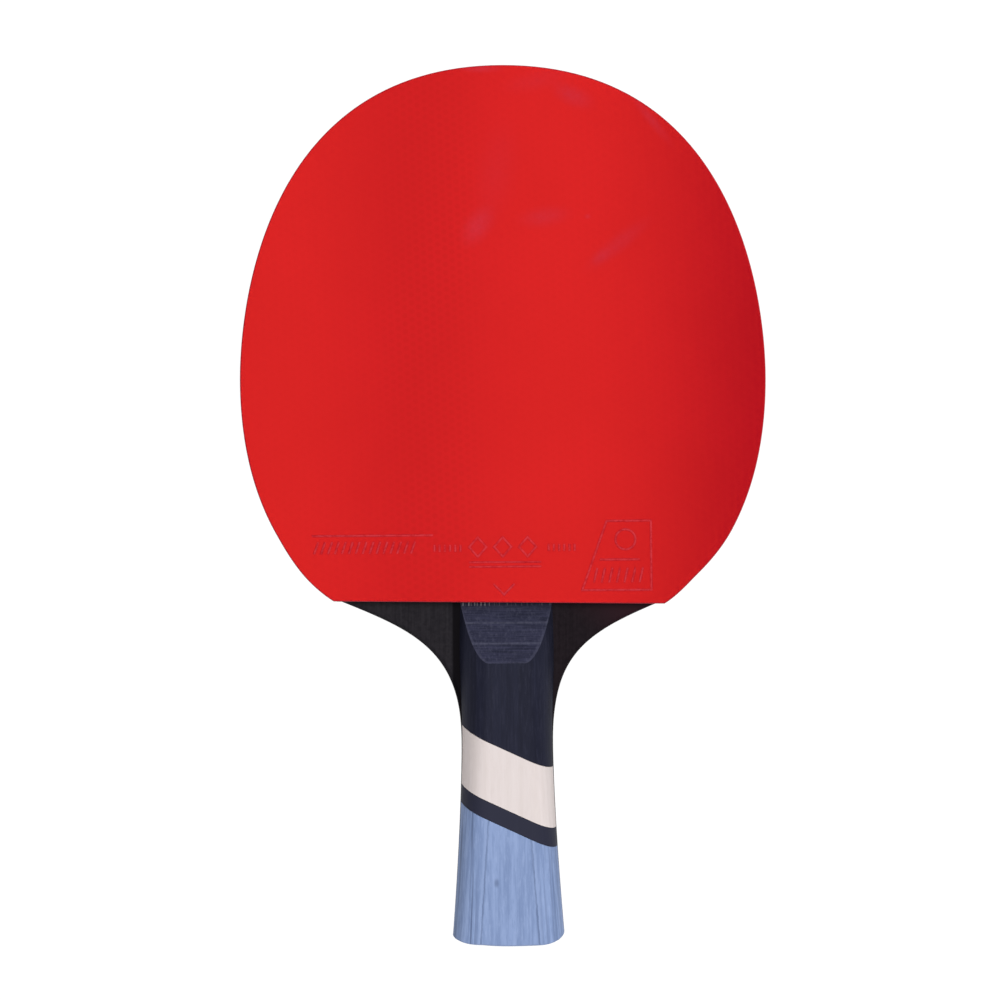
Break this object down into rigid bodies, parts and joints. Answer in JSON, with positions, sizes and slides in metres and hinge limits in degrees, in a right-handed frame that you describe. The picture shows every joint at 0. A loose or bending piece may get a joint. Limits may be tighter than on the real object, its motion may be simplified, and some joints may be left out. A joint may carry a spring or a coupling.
{
  "type": "table tennis paddle",
  "caption": "Table tennis paddle with a plywood blade, sponge-backed pimples-in rubber on both sides and a flared laminated wood handle.",
  "frame": {"origin": "centre of the bounding box, in the middle plane of the blade", "axes": "+Y from the handle to the head along the length, +Z square to the red playing face and out of it, X across the head"},
  "size_m": [0.152, 0.2542, 0.025],
  "materials": {
    "face_veneer": "fine sanded veneer; the throat outside the rubber is stained black",
    "inner_veneer": "sanded veneer seen on edge",
    "core_wood": "light open core wood seen on edge",
    "sponge": "fine-celled foam rubber, cut edge",
    "red_rubber": "smooth semi-matte rubber sheet",
    "black_rubber": "smooth semi-matte rubber sheet",
    "navy_wood": "dyed wood, satin sanded",
    "cream_wood": "dyed wood, satin sanded",
    "blue_wood": "dyed wood, satin sanded"
  },
  "bodies": {
    "root": {"blade_back_face_ply": "face_veneer", "blade_back_inner_ply": "inner_veneer", "blade_core_ply": "core_wood", "blade_front_inner_ply": "inner_veneer", "blade_front_face_ply": "face_veneer", "front_sponge": "sponge", "front_topsheet": "red_rubber", "back_sponge": "sponge", "back_topsheet": "black_rubber", "handle_front_navy_block_lower": "navy_wood", "handle_front_navy_block_middle": "navy_wood", "handle_front_navy_block_top": "navy_wood", "handle_front_cream_band_lower": "cream_wood", "handle_front_cream_band_middle": "cream_wood", "handle_front_cream_band_top": "cream_wood", "handle_front_navy_stripe_lower": "navy_wood", "handle_front_navy_stripe_middle": "navy_wood", "handle_front_navy_stripe_top": "navy_wood", "handle_front_blue_block_lower": "blue_wood", "handle_front_blue_block_middle": "blue_wood", "handle_front_blue_block_top": "blue_wood", "handle_back_navy_block_lower": "navy_wood", "handle_back_navy_block_middle": "navy_wood", "handle_back_navy_block_top": "navy_wood", "handle_back_cream_band_lower": "cream_wood", "handle_back_cream_band_middle": "cream_wood", "handle_back_cream_band_top": "cream_wood", "handle_back_navy_stripe_lower": "navy_wood", "handle_back_navy_stripe_middle": "navy_wood", "handle_back_navy_stripe_top": "navy_wood", "handle_back_blue_block_lower": "blue_wood", "handle_back_blue_block_middle": "blue_wood", "handle_back_blue_block_top": "blue_wood"}
  },
  "joints": []
}
